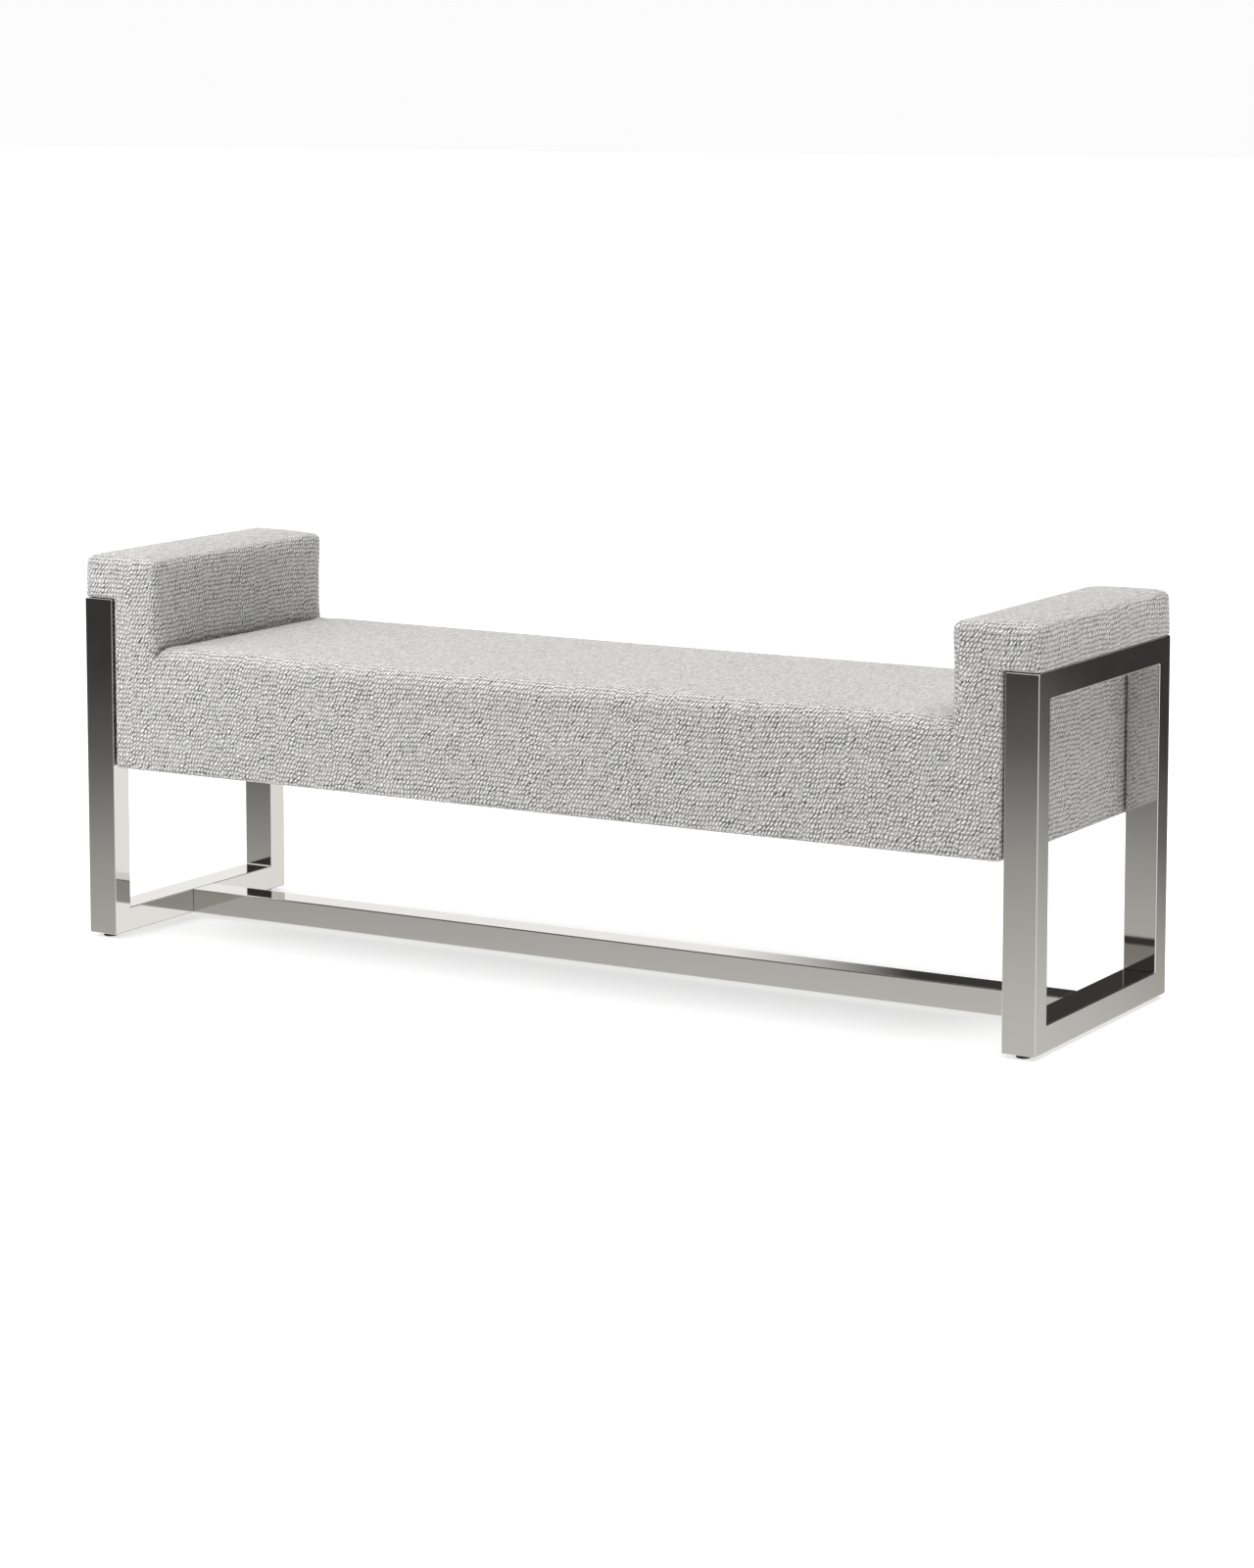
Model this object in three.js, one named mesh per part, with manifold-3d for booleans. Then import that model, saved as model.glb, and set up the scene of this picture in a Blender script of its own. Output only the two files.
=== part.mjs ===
// Hotel luggage bench: an upholstered seat with block arms, held between two polished tube frames.
// Millimetres, +Z up, +X along the bench. The front faces -Y.
// The origin is on the floor, under the middle.
import * as THREE from "three";
import { mergeVertices } from "three/addons/utils/BufferGeometryUtils.js";
import Module from "manifold-3d";

const wasm = await Module();
wasm.setup();

// Overall sizes
const overallLength = 1600;
const overallDepth = 450;
const fitGap = 0.3; // left between pieces that touch

// End frames and stretcher: rectangular tube, mitred into a loop at each end
const tubeWidth = 50; // along the bench
const tubeDepth = 38; // in the plane of the loop
const tubeWall = 2;
const tubeEdgeRadius = 1.8;
const loopHeight = 522;
const tongueLength = 70;
const tongueThickness = 12;
const stretcherScrewInset = 40; // from the stretcher's end

// Levelling glides: pad on the floor, collar above it, stud up into the leg
const glideHeight = 6;
const padRadius = 10.5;
const padThickness = 3.2;
const socketRadius = 3.5;
const socketFloor = 1.4;
const collarAcross = 17; // across the hexagon's flats
const studRadius = 4;
const studTop = 40;
const nutAcross = 13;
const nutHeight = 6.5;
const padRim = 0.8;

// Upholstery, outside sizes at the edges before the crown
const clothHalfDepth = 224;
const clothThickness = 2.4;
const seatBottom = 271;
const seatTop = 451;
const seatCrown = 5;
const armInner = 672; // face of each arm towards the seat
const armTop = 588;
const armCrown = 4;
const seatRoll = 24; // radius of the seat's front and rear edges
const armRoll = 11; // radius of the arms' upper front and rear edges
const armSideRoll = 7; // radius of the arms' upright edges
const undersideRoll = 8; // radius of the lower edges, where the cloth is drawn tight
const bottomCornerRadius = 8; // outline corners, seen from the front
const capLowerRadius = 5;
const capUpperRadius = 10;
const armInnerRadius = 11;
const capHollowRadius = 2;
const creaseRadius = 3;
const bodyHalfLength = 746; // end faces, just inside the frames
const capHalfLength = 801; // arm caps over the top rails
const capClearance = 0.5; // cap's underside above the top rail
const undersideMargin = 35; // cloth turned under the carcass
const dustCoverThickness = 1;
const dustCoverMargin = 17;

// Timber carcass
const carcassHalfDepth = 211;
const undersidePadding = 6; // cloth and wadding below the carcass
const railThickness = 20;
const railHalfLength = 675; // stops short of the end panels, so that a spanner reaches the leg bolts
const deckBottom = 390;
const deckThickness = 15;
const endPanelInner = 720;
const endPanelThickness = 18;
const armBoardInner = 684;
const armBoardThickness = 12;
const capBoardOuter = 788;
const capBoardHalfDepth = 205; // clear of the cloth rolled round the cap's lower edges
const capBoardThickness = 18;
const braceOffset = 230;
const blockLength = 80;
const blockThickness = 30;
const blockChamfer = 18;

// Fasteners
const boltRadius = 4;
const clearanceRadius = 4.7;
const hexAcross = 13;
const hexHeight = 5.3;
const flangeRadius = 7.8;
const flangeThickness = 1.5;
const legBoltHeight = 330;
const legBoltDepth = 202; // from the middle of the bench, front and rear
const legBoltReach = 18; // past the leg's inner face
const insertFlangeRadius = 9;
const insertFlangeThickness = 3;
const insertBarrelRadius = 5.6;
const insertBarrelLength = 15;
const insertBore = 4.4;
const armScrewDepth = 110; // from the middle of the bench, front and rear
const armScrewBite = 15; // into the cap board
const buttonRadius = 7;
const buttonHeight = 3.4;
const buttonFlatRadius = 4.2;
const buttonShoulderRadius = 6.3;
const tipChamfer = 1;

// Levels and places that follow from the sizes above
const loopBottom = glideHeight;
const loopTop = loopBottom + loopHeight;
const frameX = overallLength / 2 - tubeWidth / 2;
const frameInner = overallLength / 2 - tubeWidth;
const legY = overallDepth / 2 - tubeDepth / 2;
const capUnder = loopTop + capClearance;
const carcassBottom = seatBottom + undersidePadding;
const foamInset = clothThickness + fitGap;
const capBoardBottom = capUnder + foamInset;
const capBoardTop = capBoardBottom + capBoardThickness;
const deckTop = deckBottom + deckThickness;
const endPanelOuter = endPanelInner + endPanelThickness;
const quarterTurn = Math.PI / 2;

const turnSegments = 16;
const holeSegments = 14;
const weldDistance = 1e-4;

function finish(color, roughness, metalness) {
  return new THREE.MeshStandardMaterial({ color, roughness, metalness });
}

const polishedSteel = finish(0xb4b0a8, 0.08, 1);
const zincSteel = finish(0xa7a9aa, 0.35, 1);
const blackNylon = finish(0x1d1d1e, 0.6, 0);
const beech = finish(0xc9a678, 0.7, 0);
const birchPly = finish(0xd4b98f, 0.7, 0);
const foam = finish(0xe9e2cf, 0.95, 0);
const knottedCloth = finish(0xc4c3c2, 0.95, 0);
const blackCambric = finish(0x17171a, 0.95, 0);

const bench = new THREE.Group();

function place(name, geometry, material, x = 0, y = 0, z = 0) {
  const mesh = new THREE.Mesh(geometry, material);
  mesh.name = name;
  mesh.position.set(x, y, z);
  bench.add(mesh);
  return mesh;
}

function sideName(side) {
  return side < 0 ? "left" : "right";
}

function endName(end) {
  return end < 0 ? "front" : "rear";
}

// A closed geometry as a solid for cutting and joining
function toSolid(geometry) {
  const bare = geometry.clone();
  bare.deleteAttribute("normal");
  bare.deleteAttribute("uv");
  const merged = mergeVertices(bare, weldDistance);
  const corners = merged.index.array;
  const triangles = [];
  for (let i = 0; i < corners.length; i += 3) {
    const [a, b, c] = corners.slice(i, i + 3);
    if (a !== b && b !== c && c !== a) {
      triangles.push(a, b, c);
    }
  }
  const vertProperties = new Float32Array(merged.attributes.position.array);
  const triVerts = new Uint32Array(triangles);
  return new wasm.Manifold(new wasm.Mesh({ numProp: 3, vertProperties, triVerts }));
}

function toGeometry(solid) {
  const mesh = solid.getMesh();
  const geometry = new THREE.BufferGeometry();
  geometry.setAttribute("position", new THREE.BufferAttribute(mesh.vertProperties, 3));
  geometry.setIndex(new THREE.BufferAttribute(mesh.triVerts, 1));
  geometry.computeVertexNormals();
  return geometry;
}

function cut(geometry, tools) {
  const solid = tools.reduce((rest, tool) => rest.subtract(toSolid(tool)), toSolid(geometry));
  return toGeometry(solid);
}

// A box between two corners
function block(low, high) {
  const size = high.map((value, axis) => value - low[axis]);
  const geometry = new THREE.BoxGeometry(...size);
  geometry.translate(...low.map((value, axis) => value + size[axis] / 2));
  return geometry;
}

// A drill centred on a point, along one axis
function drill(axis, radius, length, x, y, z) {
  const geometry = new THREE.CylinderGeometry(radius, radius, length, holeSegments);
  if (axis === "x") {
    geometry.rotateZ(quarterTurn);
  }
  if (axis === "z") {
    geometry.rotateX(quarterTurn);
  }
  geometry.translate(x, y, z);
  return geometry;
}

// A profile of [radius, height] points turned about Z
function turned(profile) {
  const points = profile.map(([radius, height]) => new THREE.Vector2(radius, height));
  const geometry = new THREE.LatheGeometry(points, turnSegments);
  geometry.rotateX(quarterTurn);
  return geometry;
}

// A hexagon across its flats, from one height to another
function hexagon(across, bottom, top) {
  const radius = across / Math.sqrt(3);
  const geometry = new THREE.CylinderGeometry(radius, radius, top - bottom, 6);
  geometry.rotateX(quarterTurn);
  geometry.translate(0, 0, (bottom + top) / 2);
  return geometry;
}

function rectangle(width, height) {
  const x = width / 2;
  const y = height / 2;
  return [[-x, -y], [x, -y], [x, y], [-x, y]].map((point) => new THREE.Vector2(...point));
}

function roundedRectangle(width, height, radius) {
  const x = width / 2 - radius;
  const y = height / 2 - radius;
  const shape = new THREE.Shape();
  shape.absarc(x, -y, radius, -quarterTurn, 0);
  shape.absarc(x, y, radius, 0, quarterTurn);
  shape.absarc(-x, y, radius, quarterTurn, Math.PI);
  shape.absarc(-x, -y, radius, Math.PI, Math.PI + quarterTurn);
  shape.closePath();
  return shape;
}

// Open-ended rectangular tube along Z, centred, with its width along X and its depth along Y
function tube(length) {
  const section = roundedRectangle(tubeWidth, tubeDepth, tubeEdgeRadius);
  section.holes.push(new THREE.Path(rectangle(tubeWidth - 2 * tubeWall, tubeDepth - 2 * tubeWall)));
  const extrusion = { depth: length, bevelEnabled: false, curveSegments: 1 };
  const geometry = new THREE.ExtrudeGeometry(section, extrusion);
  geometry.translate(0, 0, -length / 2);
  return geometry;
}

// The same tube with both ends cut at 45 degrees; the face at -Y keeps the full length
function mitredTube(length) {
  const geometry = tube(length);
  const position = geometry.attributes.position;
  for (let i = 0; i < position.count; i += 1) {
    const end = Math.sign(position.getZ(i));
    const setback = position.getY(i) + tubeDepth / 2 + fitGap / 2;
    position.setZ(i, end * (length / 2 - setback));
  }
  return geometry;
}

// End frames

function addLeg(side, end) {
  const boltWall = side * end * (tubeWidth / 2);
  const middle = loopBottom + loopHeight / 2;
  const boltLevel = legBoltHeight - middle;
  const holeRadius = insertBarrelRadius + fitGap;
  const boltHole = drill("x", holeRadius, tubeWall * 4, boltWall, legY - legBoltDepth, boltLevel);
  const leg = cut(mitredTube(loopHeight), [boltHole]);
  const name = `${sideName(side)}_${endName(end)}_leg`;
  const mesh = place(name, leg, polishedSteel, side * frameX, end * legY, middle);
  mesh.rotation.z = end < 0 ? 0 : Math.PI;
}

function addTopRail(side) {
  const holes = [-1, 1].map((end) => drill("y", clearanceRadius, tubeDepth * 2, 0, 0, end * armScrewDepth));
  const rail = cut(mitredTube(overallDepth), holes);
  const level = loopTop - tubeDepth / 2;
  const mesh = place(`${sideName(side)}_top_rail`, rail, polishedSteel, side * frameX, 0, level);
  mesh.rotation.x = -quarterTurn;
}

function addBottomRail(side) {
  const outerWall = -tubeDepth / 2;
  const holes = [-1, 1].map((end) => drill("y", clearanceRadius, tubeWall * 4, 0, outerWall, end * legY));
  const rail = cut(mitredTube(overallDepth), holes);
  const level = loopBottom + tubeDepth / 2;
  const mesh = place(`${sideName(side)}_bottom_rail`, rail, polishedSteel, side * frameX, 0, level);
  mesh.rotation.x = quarterTurn;
}

// Stretcher: a tube between the bottom rails, slipped over a tongue at each end and screwed from below

function addStretcher() {
  const length = 2 * (frameInner - fitGap);
  const screwAt = length / 2 - stretcherScrewInset;
  const lowerWall = -tubeDepth / 2;
  const reach = tubeWall * 4;
  const holes = [-1, 1].map((side) => drill("y", clearanceRadius, reach, 0, lowerWall, side * screwAt));
  const geometry = cut(tube(length), holes);
  geometry.rotateX(quarterTurn);
  geometry.rotateZ(quarterTurn);
  place("stretcher", geometry, polishedSteel, 0, 0, loopBottom + tubeDepth / 2);
}

function addTongue(side) {
  const width = tubeWidth - 2 * tubeWall - 4 * fitGap;
  const bottom = loopBottom + tubeWall + fitGap;
  const outline = roundedRectangle(tongueLength, width, tubeEdgeRadius * 2);
  const extrusion = { depth: tongueThickness, bevelEnabled: false, curveSegments: 1 };
  const screwAt = side * (tongueLength / 2 - stretcherScrewInset);
  const hole = drill("z", insertBore, tongueThickness * 3, screwAt, 0, 0);
  const geometry = cut(new THREE.ExtrudeGeometry(outline, extrusion), [hole]);
  const middle = frameInner - fitGap - tongueLength / 2;
  place(`${sideName(side)}_stretcher_tongue`, geometry, zincSteel, side * middle, 0, bottom);
}

function addStretcherScrew(side) {
  const underside = loopBottom - fitGap;
  const tip = loopBottom + tubeWall + tongueThickness;
  const profile = [
    [0, underside - buttonHeight],
    [buttonFlatRadius, underside - buttonHeight],
    [buttonShoulderRadius, underside - buttonHeight / 2],
    [buttonRadius, underside],
    [boltRadius, underside],
    [boltRadius, tip - tipChamfer],
    [boltRadius - tipChamfer, tip],
    [0, tip],
  ];
  const x = side * (frameInner - fitGap - stretcherScrewInset);
  place(`${sideName(side)}_stretcher_screw`, turned(profile), zincSteel, x);
}

// Levelling glide: the stud is turned by its collar, and the pad stays still on the floor

function addGlide(side, end) {
  const name = `${endName(end)}_${sideName(side)}_glide`;
  const x = side * frameX;
  const y = end * legY;
  const pad = [
    [0, 0],
    [padRadius - padRim, 0],
    [padRadius, padRim],
    [padRadius, padThickness - padRim],
    [padRadius - padRim, padThickness],
    [socketRadius, padThickness],
    [socketRadius, socketFloor],
    [0, socketFloor],
  ];
  place(`${name}_pad`, turned(pad), blackNylon, x, y);

  const collarBottom = padThickness + fitGap;
  const collarTop = loopBottom - fitGap;
  const pivotRadius = socketRadius - fitGap;
  const stud = [
    [0, socketFloor + fitGap],
    [pivotRadius, socketFloor + fitGap],
    [pivotRadius, collarBottom + fitGap],
    [studRadius, collarBottom + fitGap],
    [studRadius, studTop - tipChamfer],
    [studRadius - tipChamfer, studTop],
    [0, studTop],
  ];
  const collar = toSolid(hexagon(collarAcross, collarBottom, collarTop));
  place(`${name}_stud`, toGeometry(toSolid(turned(stud)).add(collar)), zincSteel, x, y);

  const nutBottom = loopBottom + tubeWall + fitGap;
  const nut = hexagon(nutAcross, nutBottom, nutBottom + nutHeight);
  const bore = drill("z", insertBore, nutHeight * 2, 0, 0, nutBottom + nutHeight / 2);
  place(`${name}_nut`, cut(nut, [bore]), zincSteel, x, y);
}

// Timber carcass

function addSeatRail(end) {
  const inner = carcassHalfDepth - railThickness;
  const near = Math.min(end * inner, end * carcassHalfDepth);
  const low = [-railHalfLength, near, carcassBottom];
  const high = [railHalfLength, near + railThickness, deckBottom - fitGap];
  place(`seat_${endName(end)}_rail`, block(low, high), beech);
}

function addCrossBrace(side) {
  const reach = carcassHalfDepth - railThickness - fitGap;
  const x = side * braceOffset;
  const low = [x - railThickness / 2, -reach, carcassBottom];
  const high = [x + railThickness / 2, reach, deckBottom - fitGap];
  place(`${sideName(side)}_cross_brace`, block(low, high), beech);
}

// Ties a seat rail to an end panel, with its free corner chamfered
function addCornerBlock(side, end) {
  const outer = endPanelInner - fitGap;
  const face = carcassHalfDepth - railThickness - fitGap;
  const outline = [
    [outer, face],
    [outer - blockLength, face],
    [outer - blockLength, face - blockThickness + blockChamfer],
    [outer - blockLength + blockChamfer, face - blockThickness],
    [outer, face - blockThickness],
  ];
  const points = outline.map(([x, y]) => new THREE.Vector2(side * x, end * y));
  const depth = deckBottom - fitGap - carcassBottom;
  const geometry = new THREE.ExtrudeGeometry(new THREE.Shape(points), { depth, bevelEnabled: false });
  place(`${sideName(side)}_${endName(end)}_corner_block`, geometry, beech, 0, 0, carcassBottom);
}

function addDeck() {
  const reach = endPanelInner - fitGap;
  const low = [-reach, -carcassHalfDepth, deckBottom];
  const high = [reach, carcassHalfDepth, deckTop];
  place("seat_deck", block(low, high), birchPly);
}

// A block on one side of the bench, between two distances from its middle
function sideBlock(side, inner, outer, halfDepth, bottom, top) {
  const near = Math.min(side * inner, side * outer);
  return block([near, -halfDepth, bottom], [near + outer - inner, halfDepth, top]);
}

function legBoltDrills(side, radius) {
  const middle = (endPanelInner + frameInner) / 2;
  const length = frameInner - endPanelInner + 2 * tubeWall;
  return [-1, 1].map((end) => drill("x", radius, length, side * middle, end * legBoltDepth, legBoltHeight));
}

function armScrewDrills(side, radius) {
  const length = 2 * capBoardThickness;
  const x = side * frameX;
  return [-1, 1].map((end) => drill("z", radius, length, x, end * armScrewDepth, capBoardBottom));
}

function addArmBoards(side) {
  const under = capBoardBottom - fitGap;
  const panel = sideBlock(side, endPanelInner, endPanelOuter, carcassHalfDepth, carcassBottom, under);
  place(`${sideName(side)}_end_panel`, cut(panel, legBoltDrills(side, clearanceRadius)), birchPly);
  const armBoardOuter = armBoardInner + armBoardThickness;
  const armBoard = sideBlock(side, armBoardInner, armBoardOuter, carcassHalfDepth, deckTop + fitGap, under);
  place(`${sideName(side)}_arm_board`, armBoard, birchPly);
  const capLevels = [capBoardBottom, capBoardTop];
  const capBoard = sideBlock(side, armBoardInner, capBoardOuter, capBoardHalfDepth, ...capLevels);
  place(`${sideName(side)}_arm_cap_board`, cut(capBoard, armScrewDrills(side, clearanceRadius)), birchPly);
}

// Upholstery: one U-shaped form, seen from the front, with every edge rolled.
// Corners of its right half in order from the underside. inX and inZ point into the form,
// and rollX and rollZ are the radii that the two faces meeting there take at the front and rear.
const outlineCorners = [
  { x: bodyHalfLength, z: seatBottom, inX: -1, inZ: 1, rollX: undersideRoll, rollZ: undersideRoll,
    radius: bottomCornerRadius, hollow: false, steps: 2 },
  { x: bodyHalfLength, z: capUnder, inX: -1, inZ: 1, rollX: undersideRoll, rollZ: undersideRoll,
    radius: capHollowRadius, hollow: true, steps: 1 },
  { x: capHalfLength, z: capUnder, inX: -1, inZ: 1, rollX: armSideRoll, rollZ: undersideRoll,
    radius: capLowerRadius, hollow: false, steps: 2 },
  { x: capHalfLength, z: armTop, inX: -1, inZ: -1, rollX: armSideRoll, rollZ: armRoll,
    radius: capUpperRadius, hollow: false, steps: 3 },
  { x: armInner, z: armTop, inX: 1, inZ: -1, rollX: armSideRoll, rollZ: armRoll,
    radius: armInnerRadius, hollow: false, steps: 3 },
  { x: armInner, z: seatTop, inX: 1, inZ: -1, rollX: armSideRoll, rollZ: seatRoll,
    radius: creaseRadius, hollow: true, steps: 1 },
];
const seatDivisions = 8;
const armDivisions = 2;
const rollSteps = 3;
const middleSteps = 4;
const leastRadius = 0.5;

// How far a face has rolled in at one depth
function rollInset(radius, y, halfDepth) {
  const into = Math.abs(y) - (halfDepth - radius);
  return into <= 0 ? 0 : radius - Math.sqrt(Math.max(radius * radius - into * into, 0));
}

function crownLift(x, y, z) {
  const across = 1 - (y / clothHalfDepth) ** 2;
  const reach = Math.abs(x);
  if (reach < armInner) {
    return z > (seatBottom + seatTop) / 2 ? seatCrown * across * (1 - (reach / armInner) ** 4) : 0;
  }
  const middle = (armInner + capHalfLength) / 2;
  const fromMiddle = (reach - middle) / (capHalfLength - middle);
  return z > (capUnder + armTop) / 2 ? armCrown * across * (1 - fromMiddle ** 2) : 0;
}

// The outline at one depth, as [x, z] points anticlockwise from the front
function formOutline(inset, y, halfDepth) {
  const right = outlineCorners.map((corner) => {
    const insetX = inset + rollInset(corner.rollX - inset, y, halfDepth);
    const insetZ = inset + rollInset(corner.rollZ - inset, y, halfDepth);
    const tight = Math.max(corner.radius - insetX, leastRadius);
    const radius = corner.hollow ? corner.radius + insetX : tight;
    const x = corner.x + corner.inX * insetX;
    const z = corner.z + corner.inZ * insetZ;
    return { ...corner, x, z, radius };
  });
  const left = right.map((corner) => ({ ...corner, x: -corner.x })).reverse();
  const corners = [...right, ...left];
  const points = [];
  corners.forEach((corner, i) => {
    const before = corners.at(i - 1);
    const after = corners[(i + 1) % corners.length];
    const arrive = new THREE.Vector2(corner.x - before.x, corner.z - before.z).normalize();
    const leave = new THREE.Vector2(after.x - corner.x, after.z - corner.z).normalize();
    for (let k = 0; k <= corner.steps; k += 1) {
      const turn = (k / corner.steps) * quarterTurn;
      const back = corner.radius * (1 - Math.sin(turn));
      const on = corner.radius * (1 - Math.cos(turn));
      points.push([corner.x - arrive.x * back + leave.x * on, corner.z - arrive.y * back + leave.y * on]);
    }
    const onTop = corner.inZ < 0 && after.z === corner.z;
    const divisions = onTop ? (corner.hollow ? seatDivisions : armDivisions) : 1;
    const start = points.at(-1);
    const run = Math.abs(after.x - corner.x) - corner.radius - after.radius;
    for (let k = 1; k < divisions; k += 1) {
      points.push([start[0] + leave.x * run * (k / divisions), start[1]]);
    }
  });
  return points;
}

// The whole form, drawn in by an inset on every side, as a loft of outlines from front to rear
function upholsteryForm(inset) {
  const halfDepth = clothHalfDepth - inset;
  const flat = halfDepth - (seatRoll - inset);
  const depths = [];
  for (let k = 0; k < rollSteps; k += 1) {
    depths.push(flat + (seatRoll - inset) * Math.cos((k / rollSteps) * quarterTurn));
  }
  const rear = depths.slice().reverse();
  const middle = [];
  for (let k = 0; k <= middleSteps; k += 1) {
    middle.push(flat * (1 - (2 * k) / middleSteps));
  }
  const rows = [...depths, ...middle, ...rear.map((y) => -y)].map((y) => -y);
  const outlines = rows.map((y) => formOutline(inset, y, halfDepth));
  const count = outlines[0].length;
  const vertices = outlines.flatMap((outline, row) =>
    outline.flatMap(([x, z]) => [x, rows[row], z + crownLift(x, rows[row], z)]),
  );
  const triangles = [];
  for (let row = 0; row < rows.length - 1; row += 1) {
    for (let k = 0; k < count; k += 1) {
      const a = row * count + k;
      const b = row * count + ((k + 1) % count);
      triangles.push(a, a + count, b + count, a, b + count, b);
    }
  }
  const last = (rows.length - 1) * count;
  for (const [outline, offset, flip] of [[outlines[0], 0, false], [outlines.at(-1), last, true]]) {
    const contour = outline.map(([x, z]) => new THREE.Vector2(x, z));
    for (const [a, b, c] of THREE.ShapeUtils.triangulateShape(contour, [])) {
      triangles.push(offset + a, offset + (flip ? c : b), offset + (flip ? b : c));
    }
  }
  const geometry = new THREE.BufferGeometry();
  geometry.setAttribute("position", new THREE.Float32BufferAttribute(vertices, 3));
  geometry.setIndex(triangles);
  return geometry;
}

function addCover() {
  const halfLength = bodyHalfLength - undersideMargin;
  const halfDepth = clothHalfDepth - undersideMargin;
  const low = [-halfLength, -halfDepth, seatBottom - undersideMargin];
  const high = [halfLength, halfDepth, seatBottom + undersideMargin];
  const holes = [-1, 1].flatMap((side) => [
    ...legBoltDrills(side, clearanceRadius),
    ...armScrewDrills(side, clearanceRadius),
  ]);
  const tools = [upholsteryForm(clothThickness), block(low, high), ...holes];
  place("upholstery_cover", cut(upholsteryForm(0), tools), knottedCloth);
}

function addFoam() {
  const form = toSolid(upholsteryForm(foamInset));
  const reach = overallLength;
  const below = seatBottom - undersideMargin;
  const hollowDepth = carcassHalfDepth + fitGap;
  const seatSpace = block([-armInner, -reach, below], [armInner, reach, reach]);
  const seatHollow = block([-reach, -hollowDepth, below], [reach, hollowDepth, deckTop + fitGap]);
  const seatFoam = form.intersect(toSolid(seatSpace)).subtract(toSolid(seatHollow));
  place("seat_foam", toGeometry(seatFoam), foam);

  for (const side of [-1, 1]) {
    const from = armInner + fitGap;
    const armSpace = sideBlock(side, from, reach, reach, below, reach);
    const inner = armBoardInner - fitGap;
    const capDepth = capBoardHalfDepth + fitGap;
    const boards = [
      sideBlock(side, armInner / 2, armBoardInner, hollowDepth, below, deckTop + fitGap),
      sideBlock(side, inner, endPanelOuter + fitGap, hollowDepth, below, capBoardBottom),
      sideBlock(side, inner, capBoardOuter + fitGap, capDepth, capUnder, capBoardTop + fitGap),
      ...legBoltDrills(side, clearanceRadius),
    ];
    const arm = toGeometry(form.intersect(toSolid(armSpace)));
    place(`${sideName(side)}_arm_foam`, cut(arm, boards), foam);
  }
}

function addDustCover() {
  const halfLength = bodyHalfLength - dustCoverMargin;
  const halfDepth = clothHalfDepth - dustCoverMargin;
  const top = seatBottom - fitGap;
  const low = [-halfLength, -halfDepth, top - dustCoverThickness];
  place("dust_cover", block(low, [halfLength, halfDepth, top]), blackCambric);
}

// Fasteners between the carcass and the frames

// Flanged hexagon bolt along Z: the flange's bearing face is at height 0 and the shank points up
function flangedBolt(shank) {
  const profile = [
    [0, -flangeThickness - fitGap],
    [flangeRadius - tipChamfer, -flangeThickness - fitGap],
    [flangeRadius, -flangeThickness],
    [flangeRadius, 0],
    [boltRadius, 0],
    [boltRadius, shank - tipChamfer],
    [boltRadius - tipChamfer, shank],
    [0, shank],
  ];
  const head = hexagon(hexAcross, -flangeThickness - hexHeight, -flangeThickness / 2);
  return toGeometry(toSolid(turned(profile)).add(toSolid(head)));
}

function addLegBolt(side, end) {
  const name = `${sideName(side)}_${endName(end)}_leg`;
  const start = endPanelInner - fitGap;
  const y = end * legBoltDepth;
  const bolt = place(`${name}_bolt`, flangedBolt(frameInner + legBoltReach - start), zincSteel);
  bolt.position.set(side * start, y, legBoltHeight);
  bolt.rotation.y = side * quarterTurn;

  const profile = [
    [insertBore, -insertFlangeThickness - fitGap],
    [insertFlangeRadius, -insertFlangeThickness - fitGap],
    [insertFlangeRadius, -fitGap],
    [insertBarrelRadius, -fitGap],
    [insertBarrelRadius, insertBarrelLength],
    [insertBore, insertBarrelLength],
    [insertBore, -insertFlangeThickness - fitGap],
  ];
  const insert = place(`${name}_insert`, turned(profile), zincSteel);
  insert.position.set(side * frameInner, y, legBoltHeight);
  insert.rotation.y = side * quarterTurn;
}

function addArmScrew(side, end) {
  const start = loopTop - tubeDepth - fitGap;
  const shank = capBoardBottom + armScrewBite - start;
  const name = `${sideName(side)}_${endName(end)}_arm_screw`;
  place(name, flangedBolt(shank), zincSteel, side * frameX, end * armScrewDepth, start);
}

addStretcher();
addDeck();
for (const side of [-1, 1]) {
  addTopRail(side);
  addBottomRail(side);
  addTongue(side);
  addStretcherScrew(side);
  addCrossBrace(side);
  addArmBoards(side);
  for (const end of [-1, 1]) {
    addLeg(side, end);
    addGlide(side, end);
    addCornerBlock(side, end);
    addLegBolt(side, end);
    addArmScrew(side, end);
  }
}
for (const end of [-1, 1]) {
  addSeatRail(end);
}
addFoam();
addCover();
addDustCover();

export default bench;
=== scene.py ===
import math

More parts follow.
